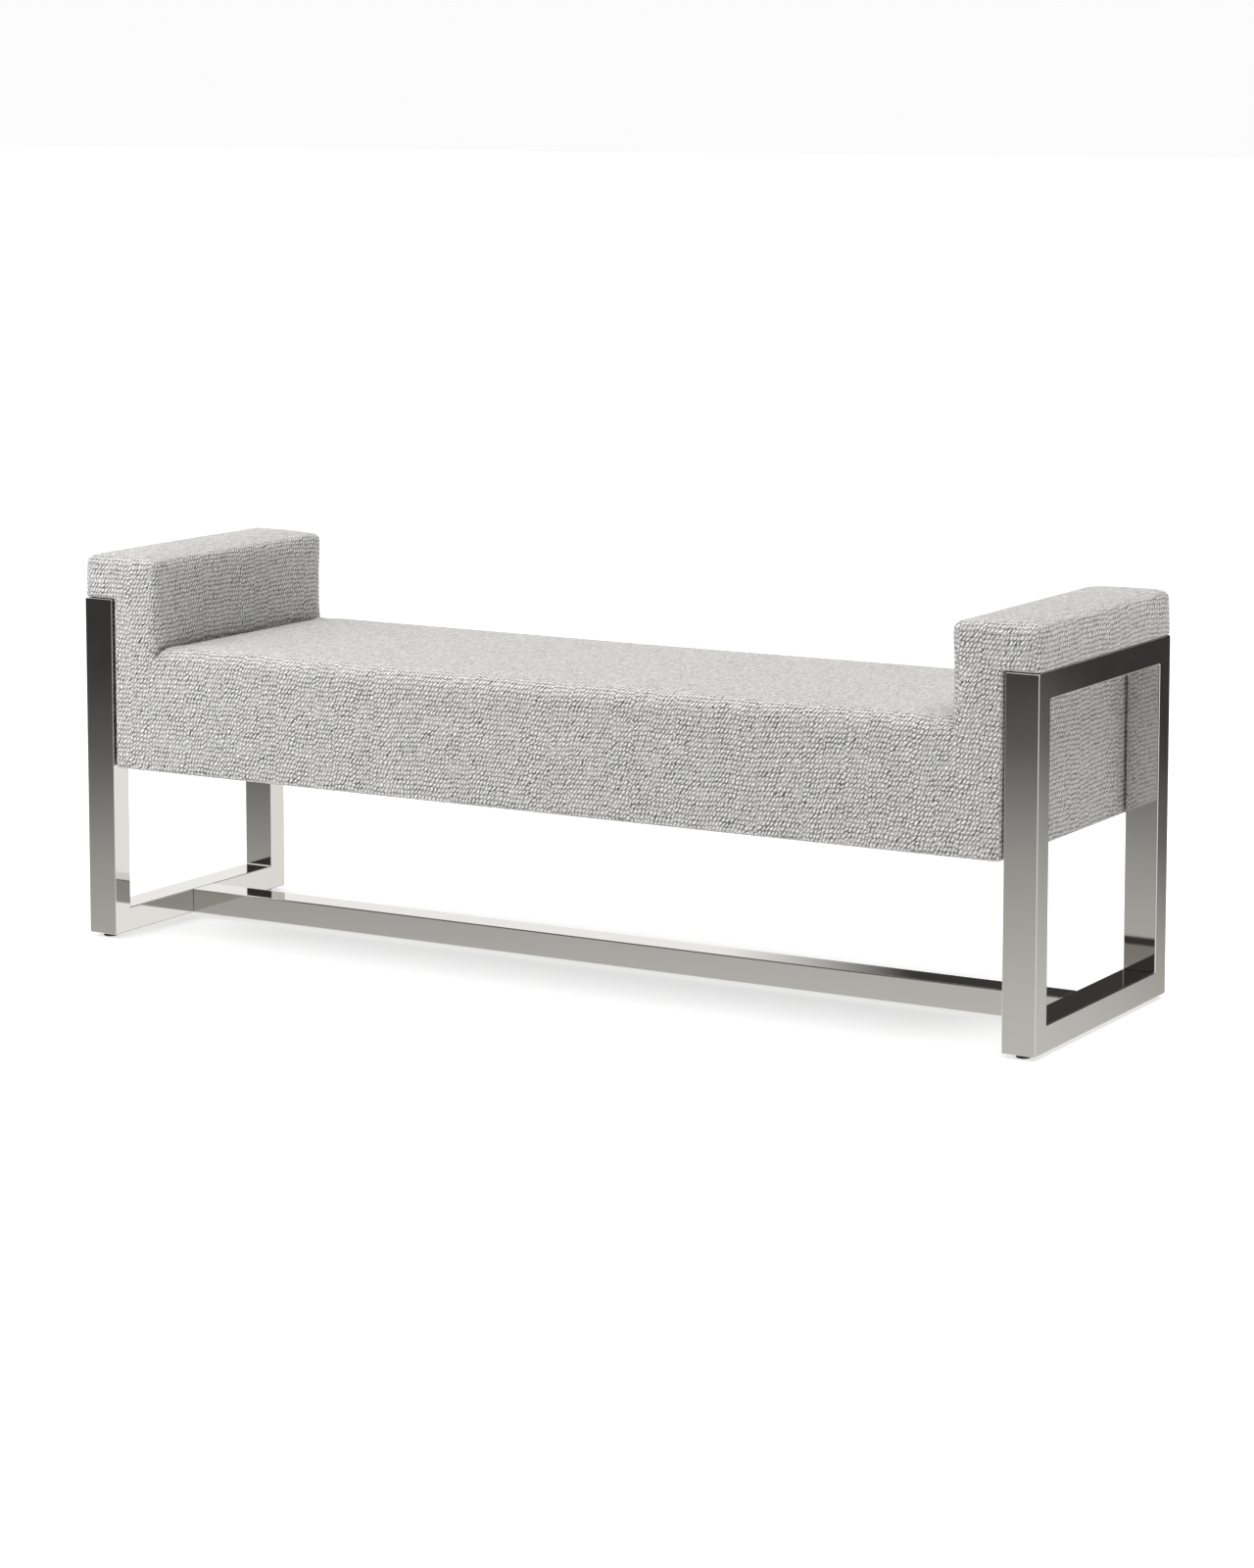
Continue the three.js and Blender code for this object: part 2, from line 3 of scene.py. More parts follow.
import bpy
import numpy as np
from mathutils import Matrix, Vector


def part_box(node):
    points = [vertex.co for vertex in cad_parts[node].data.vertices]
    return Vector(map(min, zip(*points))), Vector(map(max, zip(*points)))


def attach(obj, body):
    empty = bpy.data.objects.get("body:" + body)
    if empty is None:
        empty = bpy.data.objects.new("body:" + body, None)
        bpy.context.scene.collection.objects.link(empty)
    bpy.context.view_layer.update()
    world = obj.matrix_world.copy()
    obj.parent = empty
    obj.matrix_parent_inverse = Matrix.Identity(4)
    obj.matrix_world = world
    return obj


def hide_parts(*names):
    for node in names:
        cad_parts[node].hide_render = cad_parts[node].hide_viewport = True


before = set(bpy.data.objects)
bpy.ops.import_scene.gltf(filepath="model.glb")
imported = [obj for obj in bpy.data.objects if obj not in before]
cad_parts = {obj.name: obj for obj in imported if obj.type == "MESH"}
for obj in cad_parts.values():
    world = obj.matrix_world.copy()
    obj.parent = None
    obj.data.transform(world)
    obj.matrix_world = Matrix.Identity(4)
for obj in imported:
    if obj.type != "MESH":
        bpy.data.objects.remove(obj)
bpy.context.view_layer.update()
scene = bpy.context.scene
mm = 0.001


# Small helpers

def hexToLinear(code):
    parts = [int(code[i:i + 2], 16) / 255 for i in (1, 3, 5)]
    return tuple(c / 12.92 if c <= 0.04045 else ((c + 0.055) / 1.055) ** 2.4 for c in parts) + (1.0,)


def addNode(tree, kind, inputs=None, links=None, **settings):
    node = tree.nodes.new(kind)
    for name, value in settings.items():
        setattr(node, name, value)
    for socket, value in (inputs or {}).items():
        node.inputs[socket].default_value = value
    for socket, source in (links or {}).items():
        tree.links.new(source, node.inputs[socket])
    return node


# A material with its Principled shader wired to the output
def startMaterial(name, **sockets):
    material = bpy.data.materials.new(name)
    material.use_nodes = True
    tree = material.node_tree
    tree.nodes.clear()
    shader = addNode(tree, "ShaderNodeBsdfPrincipled", inputs=sockets)
    addNode(tree, "ShaderNodeOutputMaterial", links={"Surface": shader.outputs["BSDF"]})
    return material, tree, shader


# A math node's result; each term is a number or another node's output
def combined(tree, operation, *terms):
    numbers = {n: term for n, term in enumerate(terms) if isinstance(term, (int, float))}
    sources = {n: term for n, term in enumerate(terms) if n not in numbers}
    return addNode(tree, "ShaderNodeMath", numbers, sources, operation=operation).outputs["Value"]


# A value brought from one range into another, and kept inside it
def ranged(tree, value, given=(0, 1), wanted=(0, 1)):
    limits = dict(zip(("From Min", "From Max", "To Min", "To Max"), (*given, *wanted)))
    return addNode(tree, "ShaderNodeMapRange", limits, {"Value": value}).outputs["Result"]


# A colour ramp through stops
def ramped(tree, value, positions, colours):
    ramp = addNode(tree, "ShaderNodeValToRGB", links={"Fac": value})
    elements = ramp.color_ramp.elements
    for position in positions[1:-1]:
        elements.new(position)
    for element, position, colour in zip(elements, positions, colours):
        element.position = position
        element.color = colour
    return ramp.outputs["Color"]


# Noise through a solid, its patches so many millimetres across
def noiseThrough(tree, size, detail):
    place = addNode(tree, "ShaderNodeTexCoord")
    noise = addNode(tree, "ShaderNodeTexNoise", {"Scale": 1 / (size * mm), "Detail": detail},
                    {"Vector": place.outputs["Object"]})
    return noise.outputs["Fac"]


# Relief so many millimetres deep
def addRelief(tree, shader, height, depth, strength):
    bump = addNode(tree, "ShaderNodeBump", {"Strength": strength, "Distance": depth * mm},
                   {"Height": height})
    tree.links.new(bump.outputs["Normal"], shader.inputs["Normal"])


def addPiece(name, verts, faces, material, body, replaced=()):
    mesh = bpy.data.meshes.new(name)
    mesh.from_pydata([tuple(v) for v in verts], [], faces)
    mesh.validate()
    mesh.shade_smooth()
    mesh.materials.append(material)
    piece = bpy.data.objects.new(name, mesh)
    scene.collection.objects.link(piece)
    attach(piece, body)
    if replaced:
        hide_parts(*replaced)
    return piece


# Turns a piece's modifiers into its mesh
def applyModifiers(piece):
    depsgraph = bpy.context.evaluated_depsgraph_get()
    baked = bpy.data.meshes.new_from_object(piece.evaluated_get(depsgraph))
    piece.modifiers.clear()
    piece.data = baked


# Rings of points about the Z axis, each a height and a radius, which may be a function of the angle
def spun(rings, sides, centre):
    verts, faces = [], []
    angles = [2 * math.pi * k / sides for k in range(sides)]
    for z, radius in rings:
        for a in angles:
            r = radius(a) if callable(radius) else radius
            verts.append((centre[0] + r * math.cos(a), centre[1] + r * math.sin(a), z))
    for row in range(len(rings) - 1):
        for k in range(sides):
            a, b = row * sides + k, row * sides + (k + 1) % sides
            faces.append((a, b, b + sides, a + sides))
    last = (len(rings) - 1) * sides
    faces.append(tuple(reversed(range(sides))))
    faces.append(tuple(last + k for k in range(sides)))
    return verts, faces


# Puts several meshes of verts and faces together
def joined(*parts):
    verts, faces = [], []
    for partVerts, partFaces in parts:
        start = len(verts)
        verts += list(partVerts)
        faces += [tuple(start + i for i in face) for face in partFaces]
    return verts, faces


# Camera, from the photograph's viewing angle

view = {
    "place": (2.9993, -5.0648, 1.3131),
    "bearing": 30.37,      # degrees, to the left of straight ahead
    "tilt": 6.645,         # degrees down; the rest of the photograph's drop is the shift
    "shift": -0.15,
    "lens": 92.07,
    "sensor": 36,
}


def makeCamera():
    data = bpy.data.cameras.new("camera")
    data.lens = view["lens"]
    data.sensor_width = view["sensor"]
    data.shift_y = view["shift"]
    camera = bpy.data.objects.new("camera", data)
    camera.location = view["place"]
    camera.rotation_euler = (math.radians(90 - view["tilt"]), 0, math.radians(view["bearing"]))
    scene.collection.objects.link(camera)
    scene.camera = camera


makeCamera()
print("camera set")


# Materials, with sizes in millimetres

noiseSpread = (0.3, 0.7)   # most of a noise's values lie between these


# Stainless steel tube, ground and buffed to a mirror: a slightly warm grey that carries whatever
# stands round it, with a faint haze where the buffing wheel passed
def makePolishedSteel():
    steel = {
        "colour": "#dfddd9",
        "roughness": (0.04, 0.07),
        "haze": 60,
        "lineSpacing": 0.9,    # buffing lines are microns wide, and are drawn this far apart to show at all
        "lineDepth": 0.05,
        "lineStrength": 0.003,
    }
    material, tree, shader = startMaterial("mirror_polished_stainless", Metallic=1.0)
    shader.inputs["Base Color"].default_value = hexToLinear(steel["colour"])
    haze = noiseThrough(tree, steel["haze"], detail=3.0)
    rough = ranged(tree, haze, noiseSpread, steel["roughness"])
    tree.links.new(rough, shader.inputs["Roughness"])
    lines = noiseThrough(tree, steel["lineSpacing"], detail=1.0)
    addRelief(tree, shader, lines, steel["lineDepth"], steel["lineStrength"])
    return material


# Zinc-plated steel, cold-headed and barrel-plated: a bluish grey with small cloudy patches
def makeZincSteel():
    zinc = {"colours": ("#8f9296", "#b9bcbf"), "patch": 1.6, "roughness": (0.24, 0.42)}
    material, tree, shader = startMaterial("zinc_plated_steel", Metallic=1.0)
    patches = noiseThrough(tree, zinc["patch"], detail=4.0)
    colour = ramped(tree, patches, noiseSpread, map(hexToLinear, zinc["colours"]))
    rough = ranged(tree, patches, wanted=zinc["roughness"])
    tree.links.new(colour, shader.inputs["Base Color"])
    tree.links.new(rough, shader.inputs["Roughness"])
    return material


# Black nylon, injection moulded: a dull even black with a fine pebbled skin
def makeBlackNylon():
    nylon = {
        "colours": ("#19191a", "#2a2a2b"),
        "pebble": 0.6,
        "roughness": (0.48, 0.7),
        "relief": (0.1, 0.3),    # depth and strength
    }
    material, tree, shader = startMaterial("moulded_black_nylon", IOR=1.53)
    pebble = noiseThrough(tree, nylon["pebble"], detail=2.0)
    colour = ramped(tree, pebble, (0, 1), map(hexToLinear, nylon["colours"]))
    rough = ranged(tree, pebble, wanted=nylon["roughness"])
    tree.links.new(colour, shader.inputs["Base Color"])
    tree.links.new(rough, shader.inputs["Roughness"])
    addRelief(tree, shader, pebble, *nylon["relief"])
    return material


# Sawn timber left bare inside the seat: beech is pinkish with short dark flecks, birch plywood paler
# and plainer
def makeTimber(name, pale, dark, ringWidth, grainLength):
    timber = {"rings": (0.32, 0.62), "relief": (0.2, 0.25)}    # from dark to pale, depth and strength
    material, tree, shader = startMaterial(name, Roughness=0.65)
    place = addNode(tree, "ShaderNodeTexCoord")
    drawn = addNode(tree, "ShaderNodeMapping", {"Scale": (ringWidth / grainLength, 1, 1)},
                    {"Vector": place.outputs["Object"]})
    rings = addNode(tree, "ShaderNodeTexNoise",
                    {"Scale": 1 / (ringWidth * mm), "Detail": 5.0, "Distortion": 0.6},
                    {"Vector": drawn.outputs["Vector"]})
    colour = ramped(tree, rings.outputs["Fac"], timber["rings"], map(hexToLinear, (dark, pale)))
    tree.links.new(colour, shader.inputs["Base Color"])
    addRelief(tree, shader, rings.outputs["Fac"], *timber["relief"])
    return material


# Black cambric, a thin spun-bonded cloth: nearly black, dull, with a faint grid of pressed dots
def makeCambric():
    bonded = {
        "colours": ("#101012", "#232326"),
        "dotSpacing": 3.0,
        "dotScatter": 0.15,
        "relief": (0.2, 0.4),    # depth and strength
    }
    material, tree, shader = startMaterial("black_cambric", Roughness=0.95)
    place = addNode(tree, "ShaderNodeTexCoord")
    dots = addNode(tree, "ShaderNodeTexVoronoi",
                   {"Scale": 1 / (bonded["dotSpacing"] * mm), "Randomness": bonded["dotScatter"]},
                   {"Vector": place.outputs["Object"]})
    colour = ramped(tree, dots.outputs["Distance"], (0, 1), map(hexToLinear, bonded["colours"]))
    tree.links.new(colour, shader.inputs["Base Color"])
    addRelief(tree, shader, dots.outputs["Distance"], *bonded["relief"])
    return material


# Knotted upholstery cloth, woven with a pale grey yarn that has slubs: each row is a chain of leaning knots
# with a slit beside every knot. Rows run level but waver, and from place to place the knots
# stand out more or less. The colour follows the height: painted shade darkens the slits and a
# painted highlight lightens the knots' tops
def makeKnottedCloth():
    cloth = {
        # painted shade in the slit, the ground's two sides, and a painted highlight on the knot, each with
        # its share of the span
        "tones": ((0, "#1e1d1d"), (0.3, "#898887"), (0.56, "#b9b8b7"), (1, "#e4e3e2")),
        "span": (-0.47, 1.28),     # heights of the deepest slit and the highest knot, in reliefs
        "relief": 1.3,             # height of a knot
        "reliefStrength": 0.4,
        "knotPitch": 6.0,          # along a row
        "rowPitch": 7.0,
        "rowHeight": (-0.65, 0.32),    # between two rows and along one, in reliefs
        "lean": 0.85,              # how far a knot leans over its row, in knots
        "knotStrength": (0.5, 1.4),
        "waver": (46, 200, 4.5),   # length along and across, and height, of the rows' slow bends
        "stray": (7, 7, 4.0),      # the same for single knots
        "drift": (90, 2.4),        # a row's own shift along itself: over what length, and by how many knots
        "rowsApart": 7.3,          # keeps one row's drift unlike the next
        "band": (34, 0.9),         # width of a band of rows, and how far its rows may be shifted, in rows
        "patch": (38, 14),         # patches in which knots stand out, along and across the rows
        "patchStrength": (0.75, 1.05),
        "fibre": (1.1, 0.45),      # width of the yarn's fibres, and their height in reliefs
        "slub": (5.5, 22, 0.5),    # the same for its thick and thin places, along and across the rows
    }
    material, tree, shader = startMaterial("knotted_slub_cloth", Roughness=0.92)
    shader.inputs["Sheen Weight"].default_value = 0.12
    shader.inputs["Sheen Roughness"].default_value = 0.6

    def shrunk(place, along, across):
        shares = addNode(tree, "ShaderNodeVectorMath", {1: (1 / along, 1 / across, 0)}, {0: place},
                         operation="MULTIPLY")
        return shares.outputs["Vector"]

    def noiseAt(place, detail, scale=1.0):
        return addNode(tree, "ShaderNodeTexNoise", {"Scale": scale, "Detail": detail}, {"Vector": place},
                       noise_dimensions="2D")

    weave = addNode(tree, "ShaderNodeUVMap", uv_map="weave")
    spot = shrunk(weave.outputs["UV"], mm, mm)
    for length, width, height in (cloth["waver"], cloth["stray"]):
        noise = noiseAt(shrunk(spot, length, width), detail=1.0)
        centred = addNode(tree, "ShaderNodeVectorMath", {1: (0.5, 0.5, 0.5)},
                          {0: noise.outputs["Color"]}, operation="SUBTRACT")
        bent = addNode(tree, "ShaderNodeVectorMath", {1: (height, height, 0)},
                       {0: centred.outputs["Vector"], 2: spot}, operation="MULTIPLY_ADD")
        spot = bent.outputs["Vector"]
    lattice = addNode(tree, "ShaderNodeSeparateXYZ",
                      links={"Vector": shrunk(spot, cloth["knotPitch"], cloth["rowPitch"])})
    along = lattice.outputs["X"]
    # rows run through one band of cloth and start again in the next, a little higher or lower
    bandWidth, bandShift = cloth["band"]
    band = combined(tree, "FLOOR", combined(tree, "MULTIPLY", along, cloth["knotPitch"] / bandWidth))
    bandChance = addNode(tree, "ShaderNodeTexWhiteNoise", links={"W": band}, noise_dimensions="1D")
    across = combined(tree, "MULTIPLY_ADD", bandChance.outputs["Value"], bandShift, lattice.outputs["Y"])
    row = combined(tree, "FLOOR", across)
    inRow = combined(tree, "FRACT", across)
    # the chain of knots along one row, shifted by that row's own drift
    driftLength, driftKnots = cloth["drift"]
    driftSpot = addNode(tree, "ShaderNodeCombineXYZ", links={
        "X": combined(tree, "MULTIPLY", along, cloth["knotPitch"] / driftLength),
        "Y": combined(tree, "MULTIPLY", row, cloth["rowsApart"]),
    })
    drift = noiseAt(driftSpot.outputs["Vector"], detail=1.0)
    leaning = combined(tree, "MULTIPLY_ADD", inRow, -cloth["lean"], along)
    shifted = combined(tree, "MULTIPLY_ADD", drift.outputs["Fac"], driftKnots, leaning)
    chain = combined(tree, "SINE", combined(tree, "MULTIPLY", shifted, 2 * math.pi))
    # knots fade out towards the edges of their row, and each has its own strength
    rowSwell = combined(tree, "SINE", combined(tree, "MULTIPLY", inRow, math.pi))
    rowed = combined(tree, "MULTIPLY", chain, rowSwell)
    lifted = combined(tree, "ADD", rowed, ranged(tree, rowSwell, wanted=cloth["rowHeight"]))
    cell = addNode(tree, "ShaderNodeCombineXYZ", links={"X": combined(tree, "FLOOR", shifted), "Y": row})
    chance = addNode(tree, "ShaderNodeTexWhiteNoise", links={"Vector": cell.outputs["Vector"]},
                     noise_dimensions="2D")
    strength = ranged(tree, chance.outputs["Value"], wanted=cloth["knotStrength"])
    patches = noiseAt(shrunk(spot, *cloth["patch"]), detail=2.0)
    patch = ranged(tree, patches.outputs["Fac"], noiseSpread, cloth["patchStrength"])
    knotted = combined(tree, "MULTIPLY", lifted, combined(tree, "MULTIPLY", strength, patch))
    # fibres have relief and tone, thick and thin places only tone
    fibreWidth, fibreHeight = cloth["fibre"]
    fibre = noiseAt(spot, detail=2.0, scale=1 / fibreWidth)
    fuzzy = combined(tree, "MULTIPLY_ADD", fibre.outputs["Fac"], fibreHeight, knotted)
    slubAlong, slubAcross, slubHeight = cloth["slub"]
    slubs = noiseAt(shrunk(spot, slubAlong, slubAcross), detail=2.0)
    slubAndPaintedShade = combined(tree, "MULTIPLY_ADD", slubs.outputs["Fac"], slubHeight, fuzzy)
    # the height sets the tone: painted shade in the low slits, painted highlight on the high knots, and the
    # slubs' own lighter and darker places
    shares, codes = zip(*cloth["tones"])
    colour = ramped(tree, ranged(tree, slubAndPaintedShade, cloth["span"]), shares, map(hexToLinear, codes))
    tree.links.new(colour, shader.inputs["Base Color"])
    addRelief(tree, shader, fuzzy, cloth["relief"], cloth["reliefStrength"])
    return material


polishedSteel = makePolishedSteel()
zincSteel = makeZincSteel()
blackNylon = makeBlackNylon()
beech = makeTimber("sawn_beech", pale="#d2b08a", dark="#b08a62", ringWidth=3.0, grainLength=90)
birchPly = makeTimber("birch_plywood", pale="#dcc6a0", dark="#c2a577", ringWidth=6.0, grainLength=160)
cambric = makeCambric()
knottedCloth = makeKnottedCloth()
print("materials made")


# End frames and stretcher: hollow rectangular tube with softly rounded edges, welded and polished
# until no joint shows

tubeFinish = {
    "wall": 2.0 * mm,
    "edgeRadius": 1.7 * mm,
    "edgeSegments": 3,
    "drillRadius": 4.7 * mm,
    "drillSides": 32,
}


# A rectangular ring in the YZ plane, drawn out along X between two corners
def ringPrism(low, high, depth, inward=False):
    verts, faces = [], []
    for x in (low[0], high[0]):
        for inset in (0, depth):
            y0, y1 = low[1] + inset, high[1] - inset
            z0, z1 = low[2] + inset, high[2] - inset
            verts += [(x, y0, z0), (x, y1, z0), (x, y1, z1), (x, y0, z1)]
    for k in range(4):
        n = (k + 1) % 4
        faces += [
            (k, k + 4, n + 4, n),
            (8 + k, 8 + n, 12 + n, 12 + k),
            (k, n, 8 + n, 8 + k),
            (4 + k, 12 + k, 12 + n, 4 + n),
        ]
    if inward:
        faces = [tuple(reversed(face)) for face in faces]
    return verts, faces


# Rounds the edges among the chosen points, and drills the holes that the fasteners pass through
def finishTube(piece, rounded, drills):
    weights = piece.data.attributes.new("bevel_weight_edge", "FLOAT", "EDGE")
    for edge in piece.data.edges:
        weights.data[edge.index].value = 1.0 if rounded.issuperset(edge.vertices) else 0.0
    bevel = piece.modifiers.new("edges", "BEVEL")
    bevel.limit_method = "WEIGHT"
    bevel.width = tubeFinish["edgeRadius"]
    bevel.segments = tubeFinish["edgeSegments"]
    tools = []
    radius = tubeFinish["drillRadius"]
    for x, y, z, reach in drills:
        verts, faces = spun([(z - reach, radius), (z + reach, radius)], tubeFinish["drillSides"], (x, y))
        mesh = bpy.data.meshes.new("drill")
        mesh.from_pydata(verts, [], faces)
        tool = bpy.data.objects.new("drill", mesh)
        scene.collection.objects.link(tool)
        tools.append(tool)
        cut = piece.modifiers.new("hole", "BOOLEAN")
        cut.operation = "DIFFERENCE"
        cut.solver = "EXACT"
        cut.object = tool
    flat = piece.modifiers.new("flat_faces", "WEIGHTED_NORMAL")
    flat.weight = 100    # largest faces keep their own direction
    applyModifiers(piece)
    for tool in tools:
        bpy.data.objects.remove(tool)


def middleOf(node):
    low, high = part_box(node)
    return (low + high) / 2


# One end: two legs and two rails as a single loop of tube
def makeFrame(side):
    nodes = [f"{side}_{name}" for name in ("front_leg", "rear_leg", "top_rail", "bottom_rail")]
    boxes = [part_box(node) for node in nodes]
    low = Vector([min(b[0][i] for b in boxes) for i in range(3)])
    high = Vector([max(b[1][i] for b in boxes) for i in range(3)])
    depth = boxes[0][1].y - boxes[0][0].y
    wall = tubeFinish["wall"]
    inside = Vector((wall, wall, wall))
    skin = ringPrism(low, high, depth)
    cavity = ringPrism(low + inside, high - inside, depth - 2 * wall, inward=True)
    verts, faces = joined(skin, cavity)
    loop = addPiece(f"{side}_frame_loop", verts, faces, polishedSteel, "bench", nodes)
    drills = []
    for end in ("front", "rear"):
        stud = middleOf(f"{end}_{side}_glide_stud")
        screw = middleOf(f"{side}_{end}_arm_screw")
        drills.append((stud.x, stud.y, low.z, 3 * wall))
        drills.append((screw.x, screw.y, high.z - depth / 2, depth))
    finishTube(loop, set(range(len(skin[0]))), drills)


def makeStretcher():
    low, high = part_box("stretcher")
    verts, faces = ringPrism(low, high, tubeFinish["wall"])
    tube = addPiece("stretcher_tube", verts, faces, polishedSteel, "bench", ["stretcher"])
    screws = [middleOf(f"{side}_stretcher_screw") for side in ("left", "right")]
    drills = [(screw.x, screw.y, low.z, 2 * tubeFinish["wall"]) for screw in screws]
    outer = {i for i in range(len(verts)) if i % 8 < 4}    # ringPrism lists outer corners, then inner
    finishTube(tube, outer, drills)


makeFrame("left")
makeFrame("right")
makeStretcher()
print("frames and stretcher built")


# Upholstery: one U-shaped body of foam under cloth. A grid of cells is skinned, its edges are rolled,
# and cloth simulation then blows it out a little against the lines where it is held. It is drawn a
# little fuller than the solids, because rolled edges take something off the outline

coverLow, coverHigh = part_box("upholstery_cover")
padding = {
    "halfDepth": coverHigh.y - 0.5 * mm,
    "bottom": coverLow.z - 3.5 * mm,
    "seatTop": 457 * mm,
    "armInner": 669 * mm,      # each arm's face towards the seat
    "bodyEnd": 746 * mm,
    "capUnder": 528.5 * mm,    # underside of the arm caps, on the top rails
    "capEnd": coverHigh.x + 1.5 * mm,
    "armTop": 594 * mm,
    "seatRoll": 24 * mm,       # radii of the front and rear edges
    "armRoll": 13 * mm,
    "armSide": 9 * mm,
    "lowerRoll": 3.5 * mm,
    "leastCorner": 0.6 * mm,   # what a roll leaves of an outline corner
    "seatCrown": 3 * mm,       # built in, before the simulation adds its own
    "armCrown": 2.5 * mm,
    "tuck": 9 * mm,            # how deep the cloth goes in where the seat meets an arm
    "tuckAside": 0.6,          # and how far it goes under the arm, as a share of that
    "bunching": 0.75,          # how much closer grid lines lie near the edges than midway
    "pressure": 4.0,
    "frames": 20,
    "mostMove": 2.2 * mm,
}
# Outline corners on the right: the faces that meet there, the way into the body, and the radius
outlineCorners = [
    ("body", "bottom", -1, 1, 8 * mm),
    ("cap", "capUnder", -1, 1, 5 * mm),
    ("cap", "armTop", -1, -1, 10 * mm),
    ("inner", "armTop", 1, -1, 11 * mm),
]
# Zones of the grid between two faces, with the number of cells across each
leftCap, leftArm, seatZone, rightArm, rightCap = range(5)
columns = [
    ("-cap", "-body", 7),
    ("-body", "-inner", 9),
    ("-inner", "inner", 150),
    ("inner", "body", 9),
    ("body", "cap", 7),
]
lowLevel, midLevel, topLevel = range(3)
levels = [("bottom", "seatTop", 21), ("seatTop", "capUnder", 9), ("capUnder", "armTop", 8)]
solidZones = {
    (leftCap, topLevel), (leftArm, topLevel), (rightArm, topLevel), (rightCap, topLevel),
    (leftArm, midLevel), (rightArm, midLevel),
    (leftArm, lowLevel), (seatZone, lowLevel), (rightArm, lowLevel),
}
flatRows = 18    # from the middle of the depth to the front roll, and as many to the rear one
rollRows = 8     # round each roll


# Shares from 0 to 1, closer together near both ends
def spaced(count, ends):
    t = np.linspace(0, 1, count + 1)
    return (1 - ends) * t + ends * (0.5 - 0.5 * np.cos(math.pi * t))


# How far a face has rolled in at one depth
def rolledIn(radius, y):
    into = abs(y) - (padding["halfDepth"] - radius)
    return 0.0 if into <= 0 else radius - math.sqrt(max(radius ** 2 - into ** 2, 0))


# Distance along the cloth from the middle of a face to one depth, round the rolled edge
def alongCloth(radius, y):
    flat = padding["halfDepth"] - radius
    if abs(y) <= flat:
        return y
    return math.copysign(flat + radius * math.asin(min((abs(y) - flat) / radius, 1)), y)


# Where each named face lies at one depth
def facesAt(y):
    rolls = ("lowerRoll", "armRoll", "armSide", "seatRoll")
    lower, arm, side, seat = (rolledIn(padding[name], y) for name in rolls)
    places = {
        "bottom": padding["bottom"] + lower,
        "seatTop": padding["seatTop"] - seat,
        "capUnder": padding["capUnder"] + lower,
        "armTop": padding["armTop"] - arm,
        "inner": padding["armInner"] + side,
        "body": padding["bodyEnd"] - lower,
        "cap": padding["capEnd"] - side,
    }
    places.update({"-" + name: -places[name] for name in ("inner", "body", "cap")})
    return places, min(arm, side)


# Grid lines across one depth, and the zone that each gap between them belongs to
def gridLines(zones, places, ends):
    lines, owners = [places[zones[0][0]]], []
    for index, (first, last, count) in enumerate(zones):
        a, b = places[first], places[last]
        lines += list(a + (b - a) * spaced(count, ends)[1:])
        owners += [index] * count
    return np.array(lines), owners


